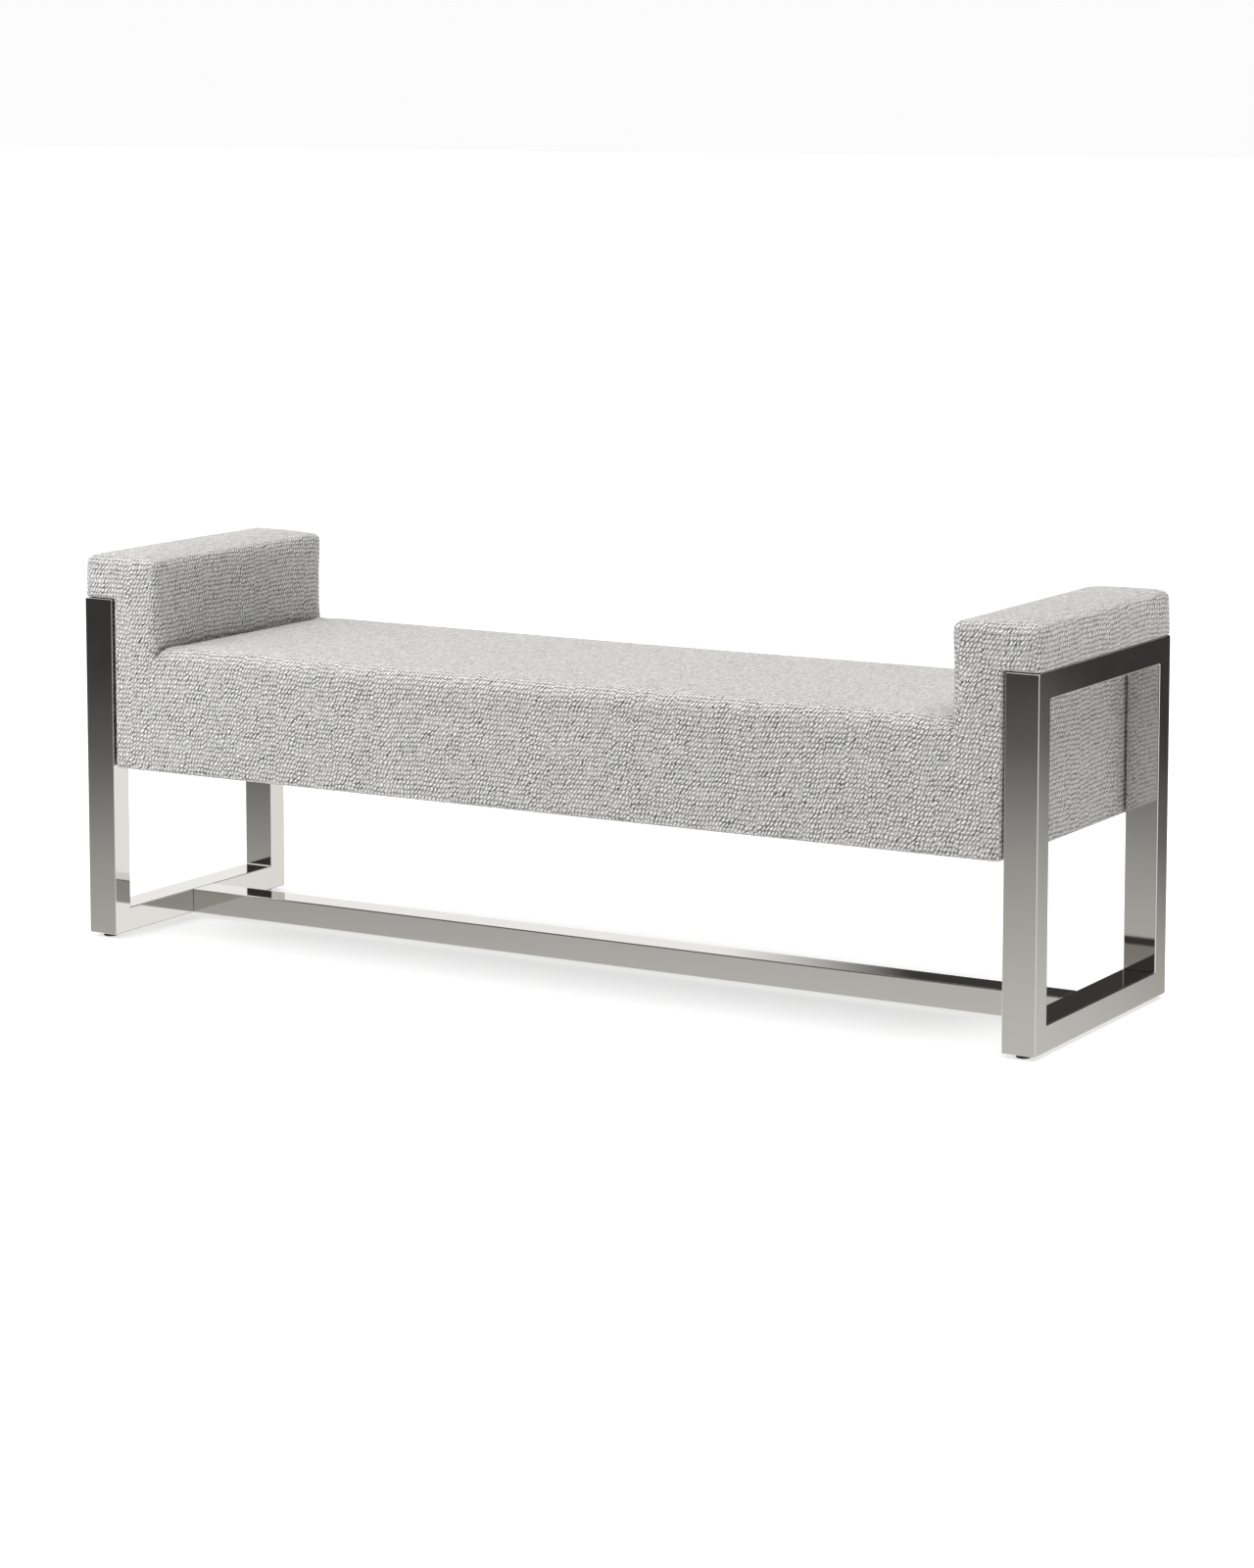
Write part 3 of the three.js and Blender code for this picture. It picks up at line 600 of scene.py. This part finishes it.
def upholsterySkin():
    half = padding["halfDepth"]
    inRoll = half - padding["seatRoll"] * (1 - np.sin(np.linspace(0, math.pi / 2, rollRows)))
    flat = np.linspace(0, half - padding["seatRoll"], flatRows + 1)
    front = np.concatenate([flat, inRoll[1:]])
    rows = np.concatenate([-front[:0:-1], front])
    midPlaces, _ = facesAt(0)
    midX, columnOf = gridLines(columns, midPlaces, padding["bunching"])
    midZ, levelOf = gridLines(levels, midPlaces, padding["bunching"])
    verts, faces, panels, weave, index = [], [], [], [], {}

    def solid(i, k):
        inside = 0 <= i < len(columnOf) and 0 <= k < len(levelOf)
        return inside and (columnOf[i], levelOf[k]) in solidZones

    grids = []
    for y in rows:
        places, roll = facesAt(y)
        xs, zs = (gridLines(zones, places, padding["bunching"])[0] for zones in (columns, levels))
        grids.append((xs, zs, places, roll))

    def nearest(lines, names):
        return {name: int(np.abs(lines - midPlaces[name]).argmin()) for name in names}

    nearLevel = nearest(midZ, ("bottom", "seatTop", "capUnder", "armTop"))
    nearColumn = nearest(midX, ("-cap", "-body", "-inner", "inner", "body", "cap"))
    inTuck = (nearColumn["-inner"], nearColumn["inner"])

    def placed(i, j, k):
        xs, zs, places, roll = grids[j]
        x, z, y = xs[i], zs[k], rows[j]
        side = -1 if x < 0 else 1
        for xName, zName, inX, inZ, radius in outlineCorners:
            cornerX, cornerZ = side * places[xName], places[zName]
            onLevel = k == nearLevel[zName]
            onColumn = i == nearColumn[xName if side > 0 else "-" + xName]
            if not (onLevel or onColumn):
                continue
            r = max(radius - roll, padding["leastCorner"])
            distance = abs(x - cornerX) + abs(z - cornerZ)
            if distance >= r:
                continue
            turn = math.radians(45) * (1 - distance / r)
            onRun, onSide = r * (1 - math.sin(turn)), r * (1 - math.cos(turn))
            dx, dz = (onRun, onSide) if onLevel else (onSide, onRun)
            x, z = cornerX + side * inX * dx, cornerZ + inZ * dz
            break
        across = 1 - (y / half) ** 2
        inSeat = nearColumn["-inner"] < i < nearColumn["inner"]
        if inSeat and k == nearLevel["seatTop"]:
            z += padding["seatCrown"] * across * (1 - (midX[i] / padding["armInner"]) ** 4)
        if not inSeat and k == nearLevel["armTop"]:
            middle = (padding["armInner"] + padding["capEnd"]) / 2
            fromMiddle = (abs(midX[i]) - middle) / (padding["capEnd"] - middle)
            z += padding["armCrown"] * across * (1 - fromMiddle ** 2)
        if k == nearLevel["seatTop"] and i in inTuck:
            fade = 1 - rolledIn(padding["seatRoll"], y) / padding["seatRoll"]
            x += side * padding["tuckAside"] * padding["tuck"] * fade
            z -= padding["tuck"] * fade
        return (x, y, z)

    def point(i, j, k):
        key = (i, j, k)
        if key not in index:
            index[key] = len(verts)
            verts.append(placed(i, j, k))
        return index[key]

    def addFace(corners, panel, coords):
        faces.append(tuple(corners))
        panels.append(panel)
        weave.append(coords)

    last = len(rows) - 1
    frontEnd = alongCloth(padding["seatRoll"], rows[0])
    for i in range(len(columnOf)):
        for k in range(len(levelOf)):
            if not solid(i, k):
                continue
            ring = [(i, k), (i + 1, k), (i + 1, k + 1), (i, k + 1)]
            for j, order in ((0, ring), (last, ring[::-1])):
                xs, zs = grids[j][0], grids[j][1]
                addFace([point(a, j, b) for a, b in order], "face", [(xs[a], zs[b]) for a, b in order])
            for n, (di, dk) in enumerate(((0, -1), (1, 0), (0, 1), (-1, 0))):
                if solid(i + di, k + dk):
                    continue
                a, b = ring[n], ring[(n + 1) % 4]
                zone = columnOf[i]
                if dk:
                    panel = "under" if dk < 0 else ("seat" if zone == seatZone else "armTop")
                else:
                    towardsSeat = (zone == leftArm) == (di > 0)
                    panel = "inner" if towardsSeat and levelOf[k] > lowLevel else "end"
                    if zone in (leftCap, rightCap):
                        panel = "capSide"
                roll = padding["seatRoll"] if panel == "seat" else padding["armRoll"]
                for j in range(last):
                    quad = [(a, j), (a, j + 1), (b, j + 1), (b, j)]
                    coords = []
                    for (ci, ck), cj in quad:
                        t = alongCloth(roll, rows[cj])
                        if dk:
                            up = t - frontEnd + padding["seatTop"] - padding["seatRoll"]
                            coords.append((grids[cj][0][ci], up))
                        else:
                            coords.append((t, grids[cj][1][ck]))
                    addFace([point(ci, cj, ck) for (ci, ck), cj in quad], panel, coords)
    tucked = {n for (i, j, k), n in index.items() if k == nearLevel["seatTop"] and i in inTuck}
    return verts, faces, panels, weave, tucked


# Blows the skin out like stuffed cloth, held where it is stapled, and lets no point go further than
# it may
def swell(piece, free):
    group = piece.vertex_groups.new(name="held")
    for index, share in enumerate(free):
        group.add([index], 1 - share, "REPLACE")
    cloth = piece.modifiers.new("cloth", "CLOTH")
    cloth.settings.vertex_group_mass = "held"
    cloth.settings.use_pressure = True
    cloth.settings.uniform_pressure_force = padding["pressure"]
    cloth.settings.effector_weights.gravity = 0
    cloth.collision_settings.use_collision = False
    cloth.point_cache.frame_start = 1
    cloth.point_cache.frame_end = padding["frames"]
    for step in range(1, padding["frames"] + 1):
        scene.frame_set(step)
    depsgraph = bpy.context.evaluated_depsgraph_get()
    blown = piece.evaluated_get(depsgraph).to_mesh()
    count = len(piece.data.vertices)
    before, after = np.empty(count * 3), np.empty(count * 3)
    piece.data.vertices.foreach_get("co", before)
    blown.vertices.foreach_get("co", after)
    move = (after - before).reshape(-1, 3)
    far = np.linalg.norm(move, axis=1)
    print("cloth moved up to", round(far.max() / mm, 2), "mm, median", round(float(np.median(far)) / mm, 2))
    limit = padding["mostMove"]
    nearZero = 1e-9
    move *= (limit * np.tanh(far / limit) / np.maximum(far, nearZero))[:, None]
    piece.modifiers.clear()
    scene.frame_set(1)
    piece.data.vertices.foreach_set("co", before + move.ravel())
    piece.data.update()


def makeUpholstery():
    verts, faces, panels, weave, tucked = upholsterySkin()
    nodes = ["upholstery_cover", "seat_foam", "left_arm_foam", "right_arm_foam"]
    piece = addPiece("upholstery", verts, faces, knottedCloth, "bench", nodes)
    layer = piece.data.uv_layers.new(name="weave")
    flat = [c for coords in weave for corner in coords for c in corner]
    layer.data.foreach_set("uv", flat)
    held = np.zeros(len(verts))
    for face, panel in zip(faces, panels):
        if panel in ("under", "end"):
            held[list(face)] = 1
    held[list(tucked)] = 1
    swell(piece, 1 - held)
    creases = piece.data.attributes.new("crease_edge", "FLOAT", "EDGE")
    for edge in piece.data.edges:
        creases.data[edge.index].value = 1.0 if tucked.issuperset(edge.vertices) else 0.0
    smooth = piece.modifiers.new("smooth", "SUBSURF")
    smooth.levels = smooth.render_levels = 1
    return piece


upholstery = makeUpholstery()
print("upholstery made", len(upholstery.data.vertices), "points")


# Dust cover: thin black cloth drawn flat under the seat, its edge stapled to the carcass

dustCover = {
    "cell": 18 * mm,
    "rippleTurns": (41, 67),      # radians a metre, along and across
    "rippleHeight": 0.18 * mm,
    "thickness": 0.5 * mm,
    "stapleEvery": 55 * mm,
    "stapleInset": 8 * mm,
    "stapleLength": 10 * mm,
    "wire": 0.9 * mm,
    "wireFlat": 0.8,              # shares of the wire: how thick it is, how far its bends reach,
    "bendReach": 0.6,             # and how far a crown stands below the cloth
    "crownDrop": 0.5,
}


def makeDustCover():
    drop = Vector((0, 0, padding["bottom"] - coverLow.z))
    low, high = (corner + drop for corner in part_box("dust_cover"))
    nx = round((high.x - low.x) / dustCover["cell"])
    ny = round((high.y - low.y) / dustCover["cell"])
    turnsX, turnsY = dustCover["rippleTurns"]
    verts, faces = [], []
    for j in range(ny + 1):
        for i in range(nx + 1):
            u, v = i / nx, j / ny
            x, y = low.x + (high.x - low.x) * u, low.y + (high.y - low.y) * v
            loose = math.sin(math.pi * u) * math.sin(math.pi * v)
            ripple = math.sin(x * turnsX) * math.sin(y * turnsY) * loose
            verts.append((x, y, (low.z + high.z) / 2 + dustCover["rippleHeight"] * ripple))
    for j in range(ny):
        for i in range(nx):
            a = j * (nx + 1) + i
            faces.append((a, a + nx + 1, a + nx + 2, a + 1))
    cloth = addPiece("dust_cover_cloth", verts, faces, cambric, "bench", ["dust_cover"])
    thick = cloth.modifiers.new("thickness", "SOLIDIFY")
    thick.thickness = dustCover["thickness"]
    thick.offset = 0
    applyModifiers(cloth)
    staples = makeStaples(low, high)


# A wire crown between two legs, pushed up through the cloth
def stapleAt(x, y, z, alongX):
    half, wire = dustCover["stapleLength"] / 2, dustCover["wire"]
    bend, flat = wire * dustCover["bendReach"], wire * dustCover["wireFlat"]
    verts, faces = [], []
    for along, up in ((-half, wire), (-half + bend, 0), (half - bend, 0), (half, wire)):
        for side, lift in ((-wire / 2, 0), (wire / 2, 0), (wire / 2, flat), (-wire / 2, flat)):
            dx, dy = (along, side) if alongX else (side, along)
            verts.append((x + dx, y + dy, z + up + lift))
    for ring in range(3):
        for k in range(4):
            a, b = ring * 4 + k, ring * 4 + (k + 1) % 4
            faces.append((a, a + 4, b + 4, b) if alongX else (a, b, b + 4, a + 4))
    faces += [(0, 1, 2, 3), (15, 14, 13, 12)] if alongX else [(3, 2, 1, 0), (12, 13, 14, 15)]
    return verts, faces


def makeStaples(low, high):
    inset, every = dustCover["stapleInset"], dustCover["stapleEvery"]
    z = low.z - dustCover["wire"] * dustCover["crownDrop"]
    parts = []
    for alongX, run in ((True, high.x - low.x), (False, high.y - low.y)):
        count = round(run / every)
        for k in range(count):
            at = (k + 0.5) * run / count
            for edge, sign in ((low, 1), (high, -1)):
                x, y = edge.x + sign * inset, low.y + at
                if alongX:
                    x, y = low.x + at, edge.y + sign * inset
                parts.append(stapleAt(x, y, z, alongX))
    verts, faces = joined(*parts)
    return addPiece("dust_cover_staples", verts, faces, zincSteel, "bench")


makeDustCover()
print("dust cover stapled on")


# Levelling glides: a moulded pad that stays still, and a threaded stud with a hexagon collar that
# turns above it

glide = {
    "padRim": 0.9 * mm,
    "lowerEdge": ((0, 2.2), (0.15, 1.3), (0.5, 0.5)),   # heights from the pad's faces and insets, in rims
    "upperEdge": ((0.45, 0.5), (0, 1.4)),
    "padSides": 168,
    "gripRibs": 28,
    "gripDepth": 0.25 * mm,
    "pivot": 3.2 * mm,
    "pivotTip": 0.7,              # share of its radius
    "pivotEase": 0.4 * mm,
    "pivotSides": 48,
    "wellRoom": (0.5 * mm, 0.4 * mm),    # round the pivot, at the pad's top and at the well's foot
    "wellDepth": 0.2 * mm,        # below the pivot
    "collarAcross": 17 * mm,
    "collarChamfer": 0.5 * mm,
    "collarEase": 1.6,            # in chamfers
    "collarSides": 96,
    "collarGap": 0.3 * mm,        # above the pad, and below the rail
    "overlap": 0.1 * mm,          # of collar with neck and thread
    "threadRadius": 4 * mm,
    "threadPitch": 1.25 * mm,
    "threadDepth": 0.65 * mm,
    "threadSides": 40,
    "threadSteps": 8,             # rings in a pitch
    "threadTip": 0.72,            # share of the radius left at the stud's end, full 1 mm below it
    "pinhole": 0.001 * mm,        # closes a spun shape
}


# Radius of a hexagon at an angle, no larger than its chamfer allows
def hexagonRadius(across, chamfer):
    def radius(angle):
        within = (angle + math.pi / 6) % (math.pi / 3) - math.pi / 6
        return min(across / 2 / math.cos(within), across / math.sqrt(3) - chamfer)
    return radius


def makePad(corner, pad, stud):
    low, high = pad
    radius, rim, top = (high.x - low.x) / 2, glide["padRim"], high.z
    pivot, pinhole = glide["pivot"], glide["pinhole"]
    roomAbove, roomBelow = glide["wellRoom"]
    wellFoot = stud[0].z - glide["wellDepth"]

    def ribbed(angle):
        return radius - glide["gripDepth"] * (0.5 - 0.5 * math.cos(glide["gripRibs"] * angle))

    rings = [(0, pinhole)]
    rings += [(up * rim, radius - inset * rim) for up, inset in glide["lowerEdge"]]
    rings += [(rim, ribbed), (top - rim, ribbed)]
    rings += [(top - down * rim, radius - inset * rim) for down, inset in glide["upperEdge"]]
    rings += [(top, pivot + roomAbove), (wellFoot, pivot + roomBelow), (wellFoot, pinhole)]
    verts, faces = spun(rings, glide["padSides"], ((low.x + high.x) / 2, (low.y + high.y) / 2))
    addPiece(f"{corner}_pad_disc", verts, faces, blackNylon, f"{corner}_pad",
             [f"{corner}_glide_pad"])


def makeStud(corner, pad, stud):
    centre = ((pad[0].x + pad[1].x) / 2, (pad[0].y + pad[1].y) / 2)
    across, chamfer, pivot = glide["collarAcross"], glide["collarChamfer"], glide["pivot"]
    foot, end = stud[0].z, stud[1].z
    bottom = pad[1].z + glide["collarGap"]
    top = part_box("left_front_leg")[0].z - glide["collarGap"]
    full = hexagonRadius(across, 0)
    eased = hexagonRadius(across, glide["collarEase"] * chamfer)
    collar = spun([(bottom, eased), (bottom + chamfer, full), (top - chamfer, full), (top, eased)],
                  glide["collarSides"], centre)
    neck = spun([(foot, pivot * glide["pivotTip"]), (foot + glide["pivotEase"], pivot),
                 (bottom + glide["overlap"], pivot)], glide["pivotSides"], centre)
    pitch, tip = glide["threadPitch"], glide["threadTip"]

    def threadRadius(z, share):
        def radius(angle):
            phase = (z / pitch - angle / (2 * math.pi)) % 1
            return (glide["threadRadius"] - glide["threadDepth"] * abs(2 * phase - 1)) * share
        return radius

    start = top - glide["overlap"]
    rows = round((end - start) / pitch * glide["threadSteps"])
    rings = []
    for k in range(rows + 1):
        z = start + (end - start) * k / rows
        share = min(1, tip + (end - z) / mm * (1 - tip))
        rings.append((z, threadRadius(z, share)))
    verts, faces = joined(neck, collar, spun(rings, glide["threadSides"], centre))
    addPiece(f"{corner}_threaded_stud", verts, faces, zincSteel, f"{corner}_stud",
             [f"{corner}_glide_stud"])


for end in ("front", "rear"):
    for side in ("left", "right"):
        corner = f"{end}_{side}"
        padBox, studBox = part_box(f"{corner}_glide_pad"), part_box(f"{corner}_glide_stud")
        makePad(corner, padBox, studBox)
        makeStud(corner, padBox, studBox)
print("glides made")


# Screws from below: button heads with a hexagon socket in the stretcher, flanged hexagon heads under
# the top rails

screws = {
    "shank": 4 * mm,
    "gap": 0.3 * mm,              # between a head and its tube
    "socket": 5 * mm,
    "socketDepth": 1.9 * mm,
    "buttonFlat": 0.55,           # share of the head's radius
    "buttonDome": 0.9,            # share of its height
    "domeSteps": 7,
    "buttonSides": 48,
    "end": 1 * mm,                # chamfer at the tip
    "hexAcross": 13 * mm,
    "hexChamfer": 0.6 * mm,
    "hexEase": 1.7,               # in chamfers
    "hexSides": 72,
    "hexFace": 0.42,              # share of the width
    "flange": (1.9 * mm, 1.5 * mm, 1.1 * mm),    # heights of its slope below the rail
    "flangeEase": 0.4 * mm,
    "point": 3 * mm,
    "pointShare": 0.4,
    "pinhole": 0.01 * mm,         # closes a spun shape
}


def makeStretcherScrew(side):
    node = f"{side}_stretcher_screw"
    low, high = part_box(node)
    centre = ((low.x + high.x) / 2, (low.y + high.y) / 2)
    head, shank, end, flat = (high.x - low.x) / 2, screws["shank"], screws["end"], screws["buttonFlat"]
    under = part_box("stretcher")[0].z - screws["gap"]
    tall = under - low.z
    socket, floor = hexagonRadius(screws["socket"], 0), low.z + screws["socketDepth"]
    rings = [(floor, screws["pinhole"]), (floor, socket), (low.z, socket), (low.z, head * flat)]
    for k in range(1, screws["domeSteps"] + 1):
        turn = math.pi / 2 * k / screws["domeSteps"]
        up = tall * (1 - math.cos(turn)) * screws["buttonDome"]
        rings.append((low.z + up, head * (flat + (1 - flat) * math.sin(turn))))
    rings += [(under, head), (under, shank), (high.z - end, shank), (high.z, shank - end)]
    verts, faces = spun(rings, screws["buttonSides"], centre)
    addPiece(f"{side}_button_screw", verts, faces, zincSteel, "bench", [node])


def makeArmScrew(side, end):
    node = f"{side}_{end}_arm_screw"
    low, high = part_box(node)
    centre = ((low.x + high.x) / 2, (low.y + high.y) / 2)
    flange, shank = (high.x - low.x) / 2, screws["shank"]
    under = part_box(f"{side}_top_rail")[0].z - screws["gap"]
    across, chamfer = screws["hexAcross"], screws["hexChamfer"]
    full, eased = hexagonRadius(across, 0), hexagonRadius(across, screws["hexEase"] * chamfer)
    slopeFoot, slopeTop, edge = (under - height for height in screws["flange"])
    rings = [(low.z, screws["pinhole"]), (low.z, across * screws["hexFace"]), (low.z, eased),
             (low.z + chamfer, full), (slopeFoot, full), (slopeTop, flange - screws["flangeEase"]),
             (edge, flange), (under, flange), (under, shank), (high.z - screws["point"], shank),
             (high.z, shank * screws["pointShare"])]
    verts, faces = spun(rings, screws["hexSides"], centre)
    addPiece(f"{side}_{end}_cap_screw", verts, faces, zincSteel, "bench", [node])


for side in ("left", "right"):
    makeStretcherScrew(side)
    for end in ("front", "rear"):
        makeArmScrew(side, end)
print("screws made")


# Carcass and fittings keep their own shapes and take their real finishes
def dressCarcass():
    finishes = {
        "rail": beech, "brace": beech, "block": beech,
        "deck": birchPly, "panel": birchPly, "board": birchPly,
        "bolt": zincSteel, "insert": zincSteel, "nut": zincSteel, "tongue": zincSteel,
    }
    for name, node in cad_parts.items():
        finish = finishes.get(name.split("_")[-1])
        if finish and not node.hide_render:
            node.data.materials.clear()
            node.data.materials.append(finish)


dressCarcass()
print("carcass dressed")


# Studio: a pale floor, a soft light overhead and a room for the polish to mirror

studio = {
    "floor": "#b6b6b5",
    "floorReach": 60,
    "floorGlow": 0.62,       # a lit table, so that shadows stay faint
    "skyStrength": 0.25,
    "backdrop": 0.97,        # what the camera sees beyond the floor
    "sunStrength": 3.85,
    "sunWidth": 75,          # degrees across, for soft shadows
    "sunFrom": (-0.02, -0.03, 1.0),
    "panelFrom": (-2.2, -1.6, 1.0),
    "panelLift": 0.3,
    "panelSize": 1.4,
    "panelPower": 26,
}


def makeFloor():
    mesh = bpy.data.meshes.new("floor")
    reach = studio["floorReach"]
    corners = [(-reach, -reach, 0), (reach, -reach, 0), (reach, reach, 0), (-reach, reach, 0)]
    mesh.from_pydata(corners, [], [(0, 1, 2, 3)])
    material, _, shader = startMaterial("pale_floor", Roughness=0.9)
    shader.inputs["Base Color"].default_value = hexToLinear(studio["floor"])
    shader.inputs["Specular IOR Level"].default_value = 0.0
    shader.inputs["Emission Color"].default_value = (1, 1, 1, 1)
    shader.inputs["Emission Strength"].default_value = studio["floorGlow"]
    mesh.materials.append(material)
    floor = bpy.data.objects.new("floor", mesh)
    floor.visible_glossy = False
    scene.collection.objects.link(floor)


def addLight(name, kind, direction, **settings):
    data = bpy.data.lights.new(name, kind)
    for setting, value in settings.items():
        setattr(data, setting, value)
    light = bpy.data.objects.new(name, data)
    light.rotation_euler = Vector(direction).to_track_quat("Z", "Y").to_euler()
    light.visible_glossy = False
    scene.collection.objects.link(light)
    return light


# One broad light overhead, and a panel at the front left that fades towards the right
def makeLights():
    addLight("overhead", "SUN", studio["sunFrom"], energy=studio["sunStrength"],
             angle=math.radians(studio["sunWidth"]))
    panel = addLight("left_panel", "AREA", studio["panelFrom"], energy=studio["panelPower"],
                     size=studio["panelSize"])
    panel.location = Vector(studio["panelFrom"]) + Vector((0, 0, studio["panelLift"]))


# What the polish mirrors: white below and to the sides, a dark wall low in front and behind.
# Angles are degrees up from level, or round from straight behind towards the right
room = {
    "low": (-64.2, -8.2),        # from the light ground up to the dark wall
    "lowTones": ((0.0, 0.45), (0.6, 0.55), (0.8, 0.75), (0.88, 0.69), (0.915, 0.6), (0.95, 0.39),
                 (0.975, 0.14), (1.0, 0.045)),
    "tint": (1, 0.985, 0.955),
    "footRight": (22, 40),       # across here the wall's foot rises until the wall is gone
    "footRise": (1.6, -12.9),
    "footAway": (95, 125),       # further round it comes down again
    "footBack": 12.9,
    "footLeft": (-95, -60),      # and left of here it doesn't move
    "wallEnds": ((-26.3, -29, -95, -120), (31, 37, 95, 120)),   # the light gap on each side, in and out
    "ceiling": (24, 46),
    "white": (1.0, 0.995, 0.98, 1),
}


def makeRoom():
    world = bpy.data.worlds.new("room")
    world.use_nodes = True
    scene.world = world
    tree = world.node_tree
    tree.nodes.clear()

    def across(angle, degrees, wanted=(0, 1)):
        return ranged(tree, angle, [math.radians(d) for d in degrees], wanted)

    place = addNode(tree, "ShaderNodeTexCoord")
    way = addNode(tree, "ShaderNodeSeparateXYZ", links={"Vector": place.outputs["Generated"]}).outputs
    up = combined(tree, "ARCSINE", way["Z"])
    around = combined(tree, "ARCTAN2", way["X"], way["Y"])
    rise = across(around, room["footRight"], [math.radians(d) for d in room["footRise"]])
    away = across(around, room["footAway"])
    foot = combined(tree, "MULTIPLY_ADD", away, math.radians(room["footBack"]), rise)
    lifted = combined(tree, "MULTIPLY_ADD", foot, across(around, room["footLeft"]), up)
    shares, tones = zip(*room["lowTones"])
    colours = [(*(tone * c for c in room["tint"]), 1) for tone in tones]
    low = ramped(tree, across(lifted, room["low"]), shares, colours)
    # the wall ends on both sides, and the ceiling is light
    light = across(up, room["ceiling"])
    for near, far, begin, gone in room["wallEnds"]:
        gap = combined(tree, "MULTIPLY", across(around, (near, far)), across(around, (begin, gone), (1, 0)))
        light = combined(tree, "MAXIMUM", light, gap)
    mirrored = addNode(tree, "ShaderNodeMixRGB", {"Color2": room["white"]}, {"Fac": light, "Color1": low})
    seenInPolish = addNode(tree, "ShaderNodeBackground", links={"Color": mirrored.outputs["Color"]})
    white = (1, 1, 1, 1)
    sky = addNode(tree, "ShaderNodeBackground", {"Color": white, "Strength": studio["skyStrength"]})
    backdrop = addNode(tree, "ShaderNodeBackground", {"Color": white, "Strength": studio["backdrop"]})
    ray = addNode(tree, "ShaderNodeLightPath").outputs
    plain = addNode(tree, "ShaderNodeMixShader", links={
        0: ray["Is Camera Ray"], 1: sky.outputs["Background"], 2: backdrop.outputs["Background"]})
    either = addNode(tree, "ShaderNodeMixShader", links={
        0: ray["Is Glossy Ray"], 1: plain.outputs["Shader"], 2: seenInPolish.outputs["Background"]})
    addNode(tree, "ShaderNodeOutputWorld", links={"Surface": either.outputs["Shader"]})


makeFloor()
makeLights()
makeRoom()
scene.view_settings.view_transform = "Standard"
print("studio lit")
